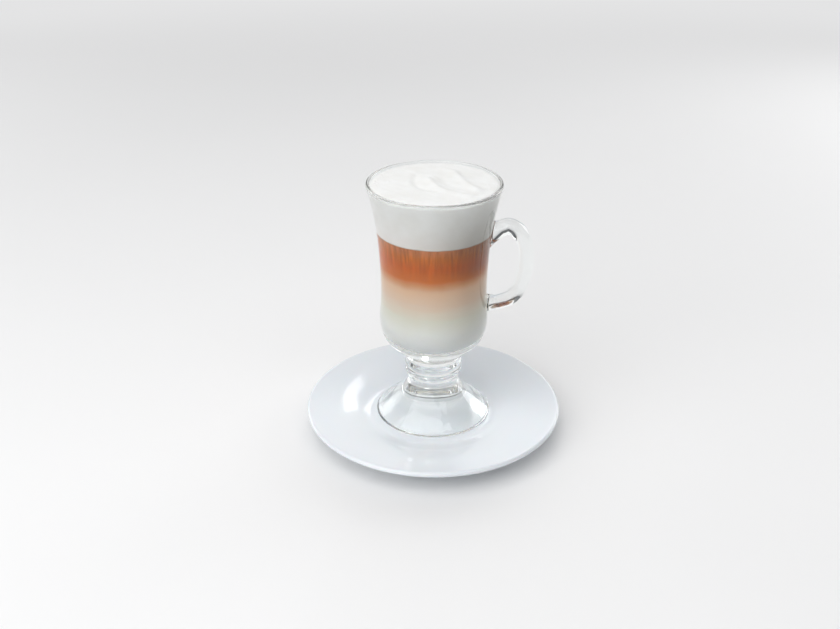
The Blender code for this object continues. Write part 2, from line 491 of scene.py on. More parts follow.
class FinishGraph(NodeGraph):
    """The nodes of one material, with the shared groups at hand."""

    def __init__(self, name: str, groups: NodeGroups) -> None:
        """Starts an empty material.

        Args:
            name: the material's name.
            groups: the shared node groups.
        """
        self.material = bpy.data.materials.new(name)
        self.material.use_nodes = True
        self.groups = groups
        super().__init__(self.material.node_tree)

    def clouds(self, tone: object, other_tone: object, scale: float, stretch: float = 1.0) -> Socket:
        """A colour that drifts between two tones in clouds."""
        values = {"Tone": tone, "Other Tone": other_tone, "Scale": scale, "Stretch": stretch}
        return self.group(self.groups.cloudy_tone, values)

    def above(self, level: Level) -> Socket:
        """How far up a level a point lies, from 0 to 1."""
        values = {"From Height": level.low, "To Height": level.high, "Waviness": level.waviness}
        return self.group(self.groups.level_share, {**values, "Scale": level.scale})

    def bumps(self, relief: Relief) -> Socket:
        """The normal that a relief gives the surface.

        Args:
            relief: the relief.

        Returns:
            The normal's socket.
        """
        values = {
            "Noise Scale": relief.noise_scale,
            "Noise Depth": relief.noise_depth,
            "Cell Scale": relief.cell_scale,
            "Cell Depth": relief.cell_depth,
        }
        height = self.group(self.groups.fine_relief, values)
        return self.add("Bump", {"Height": height, "Strength": relief.strength, "Distance": 1.0}).outputs[0]

    def shader(self, values: dict) -> Socket:
        """The Principled shader with these values."""
        return self.add("BsdfPrincipled", values).outputs[0]

    def shown(self, surface: Socket) -> Material:
        """Puts out the surface, and returns the finished material."""
        self.add("OutputMaterial", {"Surface": surface})
        return self.material


@dataclass(frozen=True)
class Porcelain:
    """White glazed porcelain, bare where the foot ring stands on the table."""

    tone: Colour = (0.80, 0.835, 0.87)
    other_tone: Colour = (0.785, 0.825, 0.865)
    cloud_scale: float = 25.0
    bisque: Colour = (0.72, 0.69, 0.63)
    glazed_above: Level = Level(0.00054, 0.0009, 0.0004, 300.0)
    roughness: float = 0.12
    bisque_roughness: float = 0.75
    relief: Relief = Relief(35.0, 0.00006, 900.0, 0.000001, 0.35)

    def build(self, groups: NodeGroups) -> Material:
        """Builds the material: a faintly uneven glaze, and a rough, warmer foot ring.

        Args:
            groups: the shared node groups.

        Returns:
            The material.
        """
        graph = FinishGraph("glazed_porcelain", groups)
        glazed = graph.above(self.glazed_above)
        tone = graph.clouds(self.tone, self.other_tone, self.cloud_scale)
        values = {
            "Base Color": graph.mix(glazed, self.bisque, tone),
            "Roughness": graph.mapped(glazed, (0.0, 1.0), (self.bisque_roughness, self.roughness)),
            "Normal": graph.bumps(self.relief),
            "IOR": 1.52,
            "Coat Weight": 0.3,
            "Coat Roughness": 0.04,
            "Subsurface Weight": 0.08,
            "Subsurface Scale": 0.002,
        }
        return graph.shown(graph.shader(values))


@dataclass(frozen=True)
class ClearGlass:
    """Clear pressed glass. Lamps shine through it almost undimmed, so that the drink inside is lit."""

    tint: Colour = (0.975, 0.99, 0.985)
    lamp_tint: Colour = (0.9, 0.9, 0.9)
    relief: Relief = Relief(28.0, 0.0001, 400.0, 0.0, 0.5)

    def build(self, groups: NodeGroups) -> Material:
        """Builds the material, with the faint ripple that pressing leaves.

        Args:
            groups: the shared node groups.

        Returns:
            The material.
        """
        graph = FinishGraph("pressed_glass", groups)
        values = {
            "Base Color": self.tint,
            "Roughness": 0.0,
            "IOR": 1.5,
            "Transmission Weight": 1.0,
            "Normal": graph.bumps(self.relief),
        }
        through = graph.add("BsdfTransparent", {"Color": self.lamp_tint}).outputs[0]
        return graph.shown(graph.blend(graph.lit("Is Shadow Ray"), graph.shader(values), through))


@dataclass(frozen=True)
class Band:
    """A colour of the drink at a height, in millimetres above the mug's base."""

    height: float
    tone: Colour


@dataclass(frozen=True)
class DrinkFinish:
    """Milk and coffee as they settle: a run of colours by height, streaks, and painted shade on the handle's
    side, darker still in the lower coffee.

    Both layers take the same bands, so that they blend into each other where they meet. Heights and places
    are in millimetres, and heights count from the mug's base.
    """

    name: str
    streak_tone: Colour
    streak_share: float
    streak_heights: Range
    streak_scale: float
    streak_stretch: float
    scatter: float
    bands: tuple[Band, ...] = (
        # The two palest bands, at the bottom, are partly painted light: the milk there is made paler to lift
        # the shade low in the bowl.
        Band(50.0, (0.97, 0.985, 0.97)),
        Band(62.0, (0.93, 0.94, 0.91)),
        Band(74.0, (0.80, 0.80, 0.70)),
        Band(83.0, (0.79, 0.65, 0.53)),
        Band(92.0, (0.80, 0.56, 0.38)),
        Band(96.0, (0.74, 0.36, 0.17)),
        Band(99.0, (0.71, 0.20, 0.033)),
        Band(107.0, (0.72, 0.155, 0.009)),
        Band(113.0, (0.73, 0.21, 0.028)),
        Band(118.3, (0.69, 0.275, 0.11)),
    )
    # Painted shade: the drink is darkened towards +X, the handle's side, away from the key lamp, and more so in
    # the lower coffee.
    painted_shade_tone: Colour = (0.86, 0.85, 0.84)
    painted_shade_share: float = 0.8
    painted_shade_across: Range = (-4.0, 28.0)
    painted_deep_shade_tone: Colour = (0.45, 0.45, 0.37)
    painted_deep_shade_heights: Range = (94.0, 103.0)
    waviness: float = 0.003
    wave_scale: float = 90.0

    def _above(self, graph: FinishGraph, heights: Range, base: float) -> Socket:
        """How far up a point lies between two heights above the base, from 0 to 1."""
        low, high = ((base + height) * MM for height in heights)
        return graph.above(Level(low, high, self.waviness, self.wave_scale))

    def _by_height(self, graph: FinishGraph, base: float) -> Socket:
        """The bands as a colour ramp over the warped height.

        Args:
            graph: the material's graph.
            base: the height of the mug's base, in millimetres.

        Returns:
            The colour's socket.
        """
        low, high = self.bands[0].height, self.bands[-1].height
        ramp = graph.add("ValToRGB", {"Fac": self._above(graph, (low, high), base)})
        marks = ramp.color_ramp.elements
        while len(marks) < len(self.bands):
            marks.new(0.5)
        for mark, band in zip(marks, self.bands):
            mark.position = (band.height - low) / (high - low)
            mark.color = rgba(band.tone)
        return ramp.outputs["Color"]

    def build(self, groups: NodeGroups, base: float) -> Material:
        """Builds the layer's material.

        Args:
            groups: the shared node groups.
            base: the height of the mug's base, in millimetres.

        Returns:
            The material.
        """
        graph = FinishGraph(self.name, groups)
        parts = graph.parts(graph.place())
        colour = self._by_height(graph, base)
        streaks = graph.clouds(colour, self.streak_tone, self.streak_scale, self.streak_stretch)
        heights = tuple((base + height) * MM for height in self.streak_heights)
        colour = graph.mix(graph.mapped(parts["Z"], heights, (0.0, self.streak_share)), colour, streaks)
        # Painted shade: darker towards the handle's side, and darker still in the lower coffee on that side.
        across = tuple(place * MM for place in self.painted_shade_across)
        shaded_side = graph.mapped(parts["X"], across, (0.0, self.painted_shade_share), smooth=True)
        colour = graph.mix(shaded_side, colour, self.painted_shade_tone, "MULTIPLY")
        deeper_shade = graph.math("MULTIPLY", shaded_side, self._above(graph, self.painted_deep_shade_heights, base))
        values = {
            "Base Color": graph.mix(deeper_shade, colour, self.painted_deep_shade_tone, "MULTIPLY"),
            "Roughness": 0.35,
            "IOR": 1.35,
            "Specular IOR Level": 0.05,
            "Subsurface Weight": self.scatter,
            "Subsurface Radius": (1.0, 0.8, 0.6),
            "Subsurface Scale": 0.0015,
        }
        return graph.shown(graph.shader(values))


MILK = DrinkFinish("opaque_steamed_milk", (0.80, 0.56, 0.39), 0.26, (68.0, 86.0), 34.0, 8.0, 0.15)
COFFEE = DrinkFinish("milky_coffee", (0.30, 0.09, 0.02), 0.6, (98.0, 112.0), 700.0, 0.06, 0.0)


@dataclass(frozen=True)
class FoamFinish:
    """Fine milk foam: white and matt, with bubbles almost too small to see. Places are in metres."""

    tone: Colour = (0.86, 0.865, 0.855)
    other_tone: Colour = (0.82, 0.82, 0.80)
    cloud_scale: float = 90.0
    stained: Colour = (0.42, 0.33, 0.24)
    clean_above: Level = Level(0.1264, 0.1275, 0.0012, 250.0)
    # Painted shade: the foam is darkened low down towards +X, the handle's side.
    painted_dim_tone: Colour = (0.64, 0.63, 0.60)
    painted_dim_below: Level = Level(0.1530, 0.1268, 0.003, 60.0)
    painted_dim_across: Range = (-0.016, 0.022)
    relief: Relief = Relief(450.0, 0.00008, 2600.0, 0.00006, 0.5)

    def build(self, groups: NodeGroups) -> Material:
        """Builds the foam: a little stained just above the coffee, and with painted shade low down on the
        handle's side, away from the key lamp.

        Args:
            groups: the shared node groups.

        Returns:
            The material.
        """
        graph = FinishGraph("fine_milk_foam", groups)
        tone = graph.clouds(self.tone, self.other_tone, self.cloud_scale)
        colour = graph.mix(graph.above(self.clean_above), self.stained, tone)
        # Painted shade low down on the handle's side.
        across = graph.parts(graph.place())["X"]
        shaded_side = graph.mapped(across, self.painted_dim_across, smooth=True)
        share = graph.math("MULTIPLY", graph.above(self.painted_dim_below), shaded_side)
        values = {
            "Base Color": graph.mix(share, colour, self.painted_dim_tone, "MULTIPLY"),
            "Roughness": 0.6,
            "IOR": 1.3,
            "Subsurface Weight": 0.3,
            "Subsurface Radius": (1.0, 0.95, 0.9),
            "Subsurface Scale": 0.0015,
            "Normal": graph.bumps(self.relief),
        }
        return graph.shown(graph.shader(values))


@dataclass(frozen=True)
class PaleFloor:
    """A plain pale matt floor, which runs into an even pale backdrop further out. Distances are in metres."""

    tone: Colour = (0.88, 0.88, 0.88)
    other_tone: Colour = (0.867, 0.867, 0.867)
    cloud_scale: float = 2.0
    backdrop: Colour = (0.775, 0.775, 0.78)
    backdrop_reach: Range = (0.5, 1.5)

    def build(self, groups: NodeGroups) -> Material:
        """Builds the floor's material. Only what looks at it directly sees the backdrop: it lights nothing.

        Args:
            groups: the shared node groups.

        Returns:
            The material.
        """
        graph = FinishGraph("pale_floor", groups)
        tone = graph.clouds(self.tone, self.other_tone, self.cloud_scale)
        matt = graph.shader({"Base Color": tone, "Roughness": 0.65})
        away = graph.add("VectorMath", {0: graph.place()}, operation="LENGTH").outputs["Value"]
        far = graph.mapped(away, self.backdrop_reach, smooth=True)
        share = graph.math("MULTIPLY", far, graph.lit("Is Camera Ray"))
        even = graph.add("Emission", {"Color": self.backdrop, "Strength": 1.0}).outputs[0]
        # Sampled as a lamp, the wide floor would take the samples that the real lamps need
        graph.material.cycles.emission_sampling = "NONE"
        return graph.shown(graph.blend(share, matt, even))


def dress(piece: bpy.types.Object, finish: Material, slot: Slot, *nodes: str) -> bpy.types.Object:
    """Gives a piece its finish and its place in the part.

    Args:
        piece: the mesh object.
        finish: its material.
        slot: the record's slot that the finish belongs to; not used.
        nodes: the CAD nodes that the piece stands for.

    Returns:
        The piece.
    """
    piece.data.materials.append(finish)
    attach(piece, BODY)
    if nodes:
        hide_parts(*nodes)
    return piece


@dataclass
class Saucer:
    """The round saucer: a level well, a cove, a broad rim with a rounded lip, and a foot ring."""

    well_top: float = 8.0
    well_underside: float = 4.0
    lip_radius: float = 1.5
    ring_outside: float = 41.5
    ring_inside: float = 38.0
    ring_round: float = 0.5
    near_axis: float = 0.001
    underside: Stations = ((20.0, 4.0), (35.6, 3.9))
    ring_side: Stations = ((36.8, 3.0), (37.8, 1.0))
    outside: Stations = ((41.8, 1.6), (43.1, 4.2), (50.0, 7.4), (60.0, 9.4))
    rim_and_cove: Stations = (
        (60.0, 12.9), (52.0, 11.4), (46.5, 10.1), (41.5, 8.75), (37.5, 8.0), (30.0, 8.0)
    )
    well_inner: float = 28.0
    lip_arc: Range = (-84.0, 96.0)
    lip_start: tuple[float, float] = (0.8, 0.09)
    columns: int = 224
    underside_points: int = 24
    foot_points: int = 5
    outside_points: int = 40
    lip_steps: int = 14
    rim_points: int = 64
    well_points: int = 14

    def section(self, radius: float, height: float) -> np.ndarray:
        """The saucer's section, from the middle of its underside round the lip to the middle of the well.

        Args:
            radius: the saucer's outer radius.
            height: the saucer's height.

        Returns:
            Points (radius, height).
        """
        lip = (radius - self.lip_radius, height - self.lip_radius)
        under_lip = (lip[0], height - 2 * self.lip_radius)
        over_lip = (lip[0] - self.lip_start[0], height - self.lip_start[1])
        well = ((self.well_inner, self.well_top), (self.near_axis, self.well_top))
        inner_foot = (self.ring_inside + self.ring_round, self.ring_round)
        outer_foot = (self.ring_outside - self.ring_round, self.ring_round)
        return np.vstack([
            [(0.0, self.well_underside)],
            smooth_curve(((self.near_axis, self.well_underside), *self.underside), self.underside_points),
            smooth_curve(self.ring_side, self.foot_points),
            arc(inner_foot, self.ring_round, 180, 270, self.foot_points),
            arc(outer_foot, self.ring_round, 270, 360, self.foot_points),
            smooth_curve((*self.outside, under_lip), self.outside_points),
            arc(lip, self.lip_radius, *self.lip_arc, self.lip_steps),
            smooth_curve((over_lip, *self.rim_and_cove), self.rim_points),
            smooth_curve(well, self.well_points),
            [(0.0, self.well_top)],
        ])

    def build(self, finish: Material) -> bpy.types.Object:
        """Builds and dresses the saucer.

        Args:
            finish: its material.

        Returns:
            The saucer.
        """
        low, high = (np.array(corner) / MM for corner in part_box("saucer"))
        radius = (high[0] - low[0]) / 2
        middle = np.array([(low[0] + high[0]) / 2, (low[1] + high[1]) / 2, low[2]])
        surface = turned(self.section(radius, high[2] - low[2]), self.columns).moved(middle)
        return dress(surface.to_object("porcelain_saucer"), finish, Slot.PORCELAIN, "saucer")


@dataclass(frozen=True)
class Bowl:
    """The mug's outer and inner sections. Heights are above the plane that the mug stands on."""

    height: float = 147.0
    rim_radius: float = 38.5
    rim_wall: float = 2.2
    rim_round: float = 1.0
    hollow_radius: float = 32.2
    hollow_depth: float = 15.5
    outer_points: int = 1500
    foot: Stations = (
        (32.2, 0.0), (33.0, 0.0), (33.8, 0.12), (34.4, 0.45), (34.6, 1.05), (34.1, 1.8),
        (32.5, 3.1), (29.0, 6.1), (24.6, 9.6), (20.4, 13.4), (17.2, 17.2), (15.3, 20.0),
        (14.8, 22.4), (15.3, 25.0), (16.3, 27.2), (16.8, 28.8), (16.5, 30.6), (17.0, 32.4),
        (17.1, 34.2), (16.6, 36.2), (16.2, 37.4), (16.7, 38.6),
    )
    outside: Stations = (
        (16.7, 38.6), (17.8, 40.6), (20.7, 43.3), (25.2, 46.8), (29.2, 52.0), (31.3, 58.4),
        (31.9, 65.0), (31.2, 74.0), (30.9, 84.0), (31.2, 96.0), (31.9, 108.0), (33.0, 119.0),
        (34.9, 130.0), (37.0, 140.0), (38.5, 146.2),
    )
    inside: Stations = (
        (0.0, 49.8), (9.0, 50.5), (17.0, 53.0), (23.0, 57.4), (26.9, 63.8), (28.1, 72.0),
        (28.0, 80.0), (27.9, 90.0), (28.5, 103.0), (29.5, 116.0), (31.6, 128.0),
        (34.4, 139.5), (36.3, 146.2),
    )

    def outer_line(self) -> np.ndarray:
        """The outer side from the stem's collar up to the lip."""
        return smooth_curve(self.outside, self.outer_points)

    def outer_radius(self, heights: np.ndarray) -> np.ndarray:
        """The bowl's outer radius at each height."""
        line = self.outer_line()
        return np.interp(heights, line[:, 1], line[:, 0])

    def inner_line(self, count: int) -> np.ndarray:
        """The inner wall from the middle of the bowl's floor up to the lip."""
        return smooth_curve(self.inside, count)


@dataclass(frozen=True)
class HandleRoot:
    """Where the handle grows out of the bowl: a patch of its grid, and the oval that the flare starts on."""

    side: RootSide
    patch: Range
    oval_middle: float
    oval_half_height: float
    oval_half_width: float
    flare_in: float
    flare_out: float


@dataclass
class GlassMug:
    """The footed mug in one closed surface, with the handle grown out of the bowl by flared roots."""

    bowl: Bowl = Bowl()
    columns: int = 192
    hollow_rings: int = 24
    foot_rings: int = 110
    below_rings: int = 40
    between_rings: int = 18
    lip_steps: int = 8
    outer_lip_arc: Range = (-10.0, 90.0)
    inner_lip_arc: Range = (90.0, 190.0)
    below_lip: float = 0.3
    wall_rings: int = 110
    patch_rows: int = 22
    patch_half_columns: int = 10
    flat_rings: int = 4
    flare_rings: int = 14
    wider: float = 1.02
    tube_rings: int = 110
    thick: float = 9.2
    lower_thick: float = 7.5
    taper_from: float = 0.55
    wide: float = 12.0
    upper: HandleRoot = HandleRoot(RootSide.UPPER, (101.5, 129.5), 115.6, 8.6, 6.9, 4.0, 5.0)
    lower: HandleRoot = HandleRoot(RootSide.LOWER, (61.5, 83.0), 72.6, 5.2, 6.9, 2.6, 4.0)
    handle_line: Stations = (
        (38.4, 119.3), (42.4, 120.4), (48.4, 117.2), (51.9, 110.2), (53.2, 100.2),
        (52.2, 90.0), (49.2, 81.0), (44.0, 75.1), (38.2, 72.8),
    )

    def section(self) -> tuple[np.ndarray, dict[RootSide, int]]:
        """The whole section, from the hollow under the foot, over the lip, to the bowl's floor. The hollow's
        height is depth (1 - q^2), with q the share of the way out.

        Returns:
            Points (radius, height), and the ring at which each root's patch starts.
        """
        bowl = self.bowl
        share = np.linspace(0.0, 1.0, self.hollow_rings)
        hollow = np.column_stack([bowl.hollow_radius * share, bowl.hollow_depth * (1 - share**2)])
        foot = smooth_curve(bowl.foot, self.foot_rings)[1:]
        outer = bowl.outer_line()
        below = spaced(outer[outer[:, 1] < self.lower.patch[0]], self.below_rings)[1:-1]
        parts = [hollow, foot, below]
        starts = {}
        for root, above in ((self.lower, self.upper.patch[0]), (self.upper, bowl.outside[-1][1])):
            starts[root.side] = sum(map(len, parts)) - 1
            patch = np.linspace(*root.patch, self.patch_rows + 1)
            between = np.linspace(root.patch[1], above, self.between_rings)[1:-1]
            heights = np.concatenate([patch, between])
            parts.append(np.column_stack([bowl.outer_radius(heights), heights]))
        lip_height = bowl.height - bowl.rim_round
        outer_middle = (bowl.rim_radius - bowl.rim_round, lip_height)
        inner_middle = (bowl.rim_radius - bowl.rim_wall + bowl.rim_round, lip_height)
        outer_lip = arc(outer_middle, bowl.rim_round, *self.outer_lip_arc, self.lip_steps)
        inner_lip = arc(inner_middle, bowl.rim_round, *self.inner_lip_arc, self.lip_steps)
        wall = bowl.inner_line(self.wall_rings)[::-1]
        clear_of_lip = wall[:, 1] < inner_lip[-1, 1] - self.below_lip
        parts += [outer_lip, inner_lip, wall[clear_of_lip]]
        return np.vstack(parts), starts

    def patch_border(self, root: HandleRoot, start: int) -> tuple[np.ndarray, np.ndarray, np.ndarray]:
        """Walks round a root's patch, from the middle of its outer side towards +Y and all the way round.

        Args:
            root: the root.
            start: the ring at which its patch starts.

        Returns:
            The grid's point numbers along the border, and each point's place across and up the patch, both
            from -1 to 1, where up is towards the handle's outer side.
        """
        half, rows = self.patch_half_columns, self.patch_rows
        sides = (
            (np.arange(0, half), np.full(half, rows)),
            (np.full(rows, half), np.arange(rows, 0, -1)),
            (np.arange(half, -half, -1), np.zeros(2 * half, int)),
            (np.full(rows, -half), np.arange(0, rows)),
            (np.arange(-half, 0), np.full(half, rows)),
        )
        across, up = (np.concatenate(places) for places in zip(*sides))
        ring = start + (up if root.side is RootSide.UPPER else rows - up)
        return ring * self.columns + across % self.columns, across / half, 2 * up / rows - 1

    def on_bowl(self, angles: np.ndarray, heights: np.ndarray) -> np.ndarray:
        """Points of the bowl's outer side: (r cos a, r sin a, h), with r the outer radius at h."""
        radius = self.bowl.outer_radius(heights)
        return np.stack([radius * np.cos(angles), radius * np.sin(angles), heights], axis=-1)

    def root_rings(
        self, root: HandleRoot, across: np.ndarray, up: np.ndarray, end: np.ndarray, away: np.ndarray
    ) -> np.ndarray:
        """The rings from a patch's border to the handle's first full ring.

        The first few stay on the bowl and turn the border's rectangle into an oval. The rest leave the bowl
        along its own surface and meet the handle along its centre line: each column is a cubic that
        leaves and arrives in those two directions.

        Args:
            root: the root.
            across: each border point's place across the patch.
            up: each border point's place up the patch.
            end: the handle's ring that the flare ends on.
            away: the direction in which the handle leaves there.

        Returns:
            Rings of points, from next to the border to next to the handle's ring.
        """
        turn = np.arctan2(across, up)
        middle, span = (root.patch[0] + root.patch[1]) / 2, (root.patch[1] - root.patch[0]) / 2
        half_angle = self.patch_half_columns * FULL_TURN / self.columns
        square = np.stack([across * half_angle, middle + root.side.value * span * up])
        radius = float(self.bowl.outer_radius(np.array([root.oval_middle]))[0])
        centre = np.array([[0.0], [root.oval_middle]])
        oval = centre + np.stack([
            root.oval_half_width / radius * np.sin(turn),
            root.side.value * root.oval_half_height * np.cos(turn),
        ])
        shares = np.linspace(0.0, 1.0, self.flat_rings + 1)[1:, None]
        flat = self.on_bowl(*((1 - shares) * corner + shares * edge for corner, edge in zip(square, oval)))
        slightly_wider = centre + self.wider * (oval - centre)
        inward = flat[-1] - self.on_bowl(*slightly_wider)
        inward *= root.flare_in / np.linalg.norm(inward, axis=1)[:, None]
        t = np.linspace(0.0, 1.0, self.flare_rings + 1)[1:-1, None, None]
        return np.concatenate([flat, cubic(t, flat[-1], inward, end, root.flare_out * away)])

    def handle_rings(self, turn: np.ndarray) -> tuple[np.ndarray, np.ndarray]:
        """The handle's full rings: ovals set square to its centre line, with their points at given turns.
        Along the line they keep their thickness up to the taper, and thin evenly from there to the lower end.

        Args:
            turn: each point's angle, from the handle's outer side towards +Y.

        Returns:
            The rings, and the centre line's direction at each.
        """
        line = smooth_curve(self.handle_line, self.tube_rings)
        along = directions(line)
        share = np.linspace(0.0, 1.0, self.tube_rings)
        thick = np.interp(share, [self.taper_from, 1.0], [self.thick, self.lower_thick])
        out = thick[:, None] / 2 * np.cos(turn)
        side = np.broadcast_to(self.wide / 2 * np.sin(turn), out.shape)
        rings = np.stack([line[:, :1] - out * along[:, 1:], side, line[:, 1:] + out * along[:, :1]], axis=-1)
        return rings, np.column_stack([along[:, 0], np.zeros(len(line)), along[:, 1]])

    def surface(self) -> Surface:
        """The mug's closed surface: the turned body with two patches left open, joined by the handle's rings.

        Returns:
            The surface.
        """
        section, starts = self.section()
        body = turned(section, self.columns)
        half, rows = self.patch_half_columns, self.patch_rows
        ring = np.arange(len(body.quads)) // self.columns
        column = (np.arange(len(body.quads)) + half) % self.columns
        kept = np.ones(len(body.quads), bool)
        for start in starts.values():
            kept &= ~((ring >= start) & (ring < start + rows) & (column < 2 * half))
        upper_border, across, up = self.patch_border(self.upper, starts[RootSide.UPPER])
        lower_border = self.patch_border(self.lower, starts[RootSide.LOWER])[0]
        tube, along = self.handle_rings(np.arctan2(across, up))
        upper = self.root_rings(self.upper, across, up, tube[0], along[0])
        lower = self.root_rings(self.lower, across, up, tube[-1], -along[-1])[::-1]
        rings = np.concatenate([upper, tube, lower])
        count = len(across)
        inner = len(body.points) + np.arange(len(rings) * count)
        numbers = np.concatenate([upper_border, inner, lower_border])
        # Ring by ring the outside lies on the left here, so the quads are turned round
        bridge = numbers[ring_quads(len(rings) + 2, count)][:, ::-1]
        points = np.vstack([body.points, rings.reshape(-1, 3)])
        return Surface(points, np.vstack([body.quads[kept], bridge]), body.triangles)

    def build(self, finish: Material, stand: np.ndarray) -> bpy.types.Object:
        """Builds and dresses the mug, with its axis and base at the stand."""
        made = self.surface().moved(stand).to_object("pressed_glass_mug")
        return dress(made, finish, Slot.CLEAR_GLASS, "glass_mug")


@dataclass(frozen=True)
class Stroke:
    """A soft ridge or crease left on the foam by pouring: its path from the mug's axis, height and width."""

    path: Stations
    height: float
    width: float
    points: int = 40

    def lift(self, x: np.ndarray, y: np.ndarray) -> np.ndarray:
        """The stroke's height at places: height times e^(-(d / width)^2), with d the distance from the path.

        Args:
            x: places across.
            y: places along.

        Returns:
            Heights, negative for a crease.
        """
        line = smooth_curve(self.path, self.points)
        start, step = line[:-1], np.diff(line, axis=0)
        places = np.column_stack([x, y])[:, None, :]
        along = np.clip(((places - start) * step).sum(axis=2) / (step**2).sum(axis=1), 0.0, 1.0)
        nearest = start + along[..., None] * step
        distance = np.linalg.norm(places - nearest, axis=2).min(axis=1)
        return self.height * np.exp(-((distance / self.width) ** 2))


@dataclass
class Drink:
    """The layers in the bowl. Each reaches just into the glass, so that no air shows between them."""

    bowl: Bowl = Bowl()
    into_wall: float = 0.15
    milk_top: float = 93.55
    milk_rows: int = 110
    coffee_top: float = 118.45
    coffee_rows: int = 50
    foam_level: float = 145.9
    foam_dome: float = 0.8
    foam_rows: int = 40
    top_rings: int = 100
    crowding: float = 1.2
    edge_dip: float = 0.9
    edge_lean: float = 0.6
    curl: float = 0.8
    disc_shares: np.ndarray = field(default_factory=lambda: np.linspace(0.0, 1.0, DISC_RINGS)[1:-1])
    columns: int = 192
    foam_columns: int = 320
    waves: int = 14
    wave_length: Range = (3.0, 16.0)
    wave_height: float = 0.05
    bubbles: int = 190
    bubble_radius: Range = (0.45, 1.0)
    bubble_inset: float = 0.9
    bubble_spread: float = 1.7
    bubble_rise: float = 0.25
    stroke_fade: float = 2.0
    calm_power: int = 6
    wall_points: int = 900
    foam_wall_points: int = 600
    strokes: tuple[Stroke, ...] = (
        Stroke(((-10.5, 13.0), (-11.0, 3.0), (-9.0, -5.5), (-4.0, -10.5), (1.5, -13.5)), -1.0, 2.4),
        Stroke(((-4.0, 5.0), (-1.0, -3.0), (3.9, -11.5), (11.0, -18.0), (19.0, -21.5)), 1.05, 2.6),
        Stroke(((4.0, 10.0), (6.5, 0.5), (11.5, -8.5)), -0.6, 3.0),
        Stroke(((6.0, 23.0), (11.0, 18.0), (14.0, 7.0), (18.5, -4.5), (24.0, -12.0)), 1.15, 2.8),
    )

    def wall(self, low: float, high: float, count: int) -> np.ndarray:
        """The drink's side between two heights: the inner wall, moved out along its own normal.

        Args:
            low: the lower height.
            high: the upper height.
            count: how many points to return.

        Returns:
            Points (radius, height), upwards.
        """
        line = self.bowl.inner_line(self.wall_points)
        along = directions(line)
        line = line + self.into_wall * np.column_stack([along[:, 1], -along[:, 0]])
        off_axis, apart = 0.05, 0.02
        line = line[line[:, 0] > off_axis]
        if low > line[0, 1]:
            start = [(np.interp(low, line[:, 1], line[:, 0]), low)]
            line = np.vstack([start, line[line[:, 1] > low + apart]])
        end = [(np.interp(high, line[:, 1], line[:, 0]), high)]
        return spaced(np.vstack([line[line[:, 1] < high - apart], end]), count)

    def disc(self, rim: np.ndarray) -> np.ndarray:
        """Points (radius, height) across a flat disc, from near its middle to near its rim."""
        return np.column_stack([rim[0] * self.disc_shares, np.full_like(self.disc_shares, rim[1])])

    def layer(self, low: float, high: float, side_rows: int) -> Surface:
        """A layer with a flat top: the side between two heights, closed by flat discs.

        Args:
            low: the layer's lowest height, or less for the bowl's floor.
            high: its top.
            side_rows: rows of points up its side.

        Returns:
            The closed surface.
        """
        side = self.wall(low, high, side_rows)
        starts_wide = side[0, 1] == low
        floor = [self.disc(side[0])] if starts_wide else []
        section = [[(0.0, side[0, 1])], *floor, side, self.disc(side[-1])[::-1], [(0.0, high)]]
        return turned(np.vstack(section), self.columns)

    def relief(self, x: np.ndarray, y: np.ndarray, edge: float) -> np.ndarray:
        """How far the foam stands above its edge.

        It is a low dome, 1 - q^2 with q the share of the way to the wall, and the strokes on it, which fade
        out towards the wall.

        Args:
            x: places across.
            y: places along.
            edge: the foam's radius at its edge.

        Returns:
            Heights above the edge, without the meniscus at the wall itself.
        """
        inner = np.clip(1 - (x**2 + y**2) / edge**2, 0.0, 1.0)
        strokes = sum(stroke.lift(x, y) for stroke in self.strokes)
        return self.foam_dome * inner + np.minimum(1.0, self.stroke_fade * inner) * strokes

    def small_waves(self, x: np.ndarray, y: np.ndarray) -> np.ndarray:
        """The foam's faint unevenness: a sum of sine waves with seeded directions, lengths and phases, each
        as high as it is long, by its share of the longest.

        Args:
            x: places across.
            y: places along.

        Returns:
            Heights.
        """
        draw = np.random.default_rng(RANDOM_SEED)
        heading = draw.uniform(0, FULL_TURN, self.waves)
        length = draw.uniform(*self.wave_length, self.waves)
        phase = draw.uniform(0, FULL_TURN, self.waves)
        along = x[:, None] * np.cos(heading) + y[:, None] * np.sin(heading)
        share = length / self.wave_length[1]
        return self.wave_height * (share * np.sin(FULL_TURN * along / length + phase)).sum(axis=1)

    def edge_bubbles(self, x: np.ndarray, y: np.ndarray, edge: float) -> np.ndarray:
        """Small bubbles along the wall, each a low round cap, rise w (1 - (d / w)^2) within its own radius w.

        Args:
            x: places across.
            y: places along.
            edge: the foam's radius at its edge.

        Returns:
            Heights, zero between the bubbles.
        """
        draw = np.random.default_rng(RANDOM_SEED + 1)
        turn = draw.uniform(0, FULL_TURN, self.bubbles)
        reach = edge - self.bubble_inset - draw.exponential(self.bubble_spread, self.bubbles)
        width = draw.uniform(*self.bubble_radius, self.bubbles)
        gap = np.hypot(x[:, None] - reach * np.cos(turn), y[:, None] - reach * np.sin(turn))
        return (self.bubble_rise * width * np.clip(1 - (gap / width) ** 2, 0.0, 1.0)).max(axis=1)

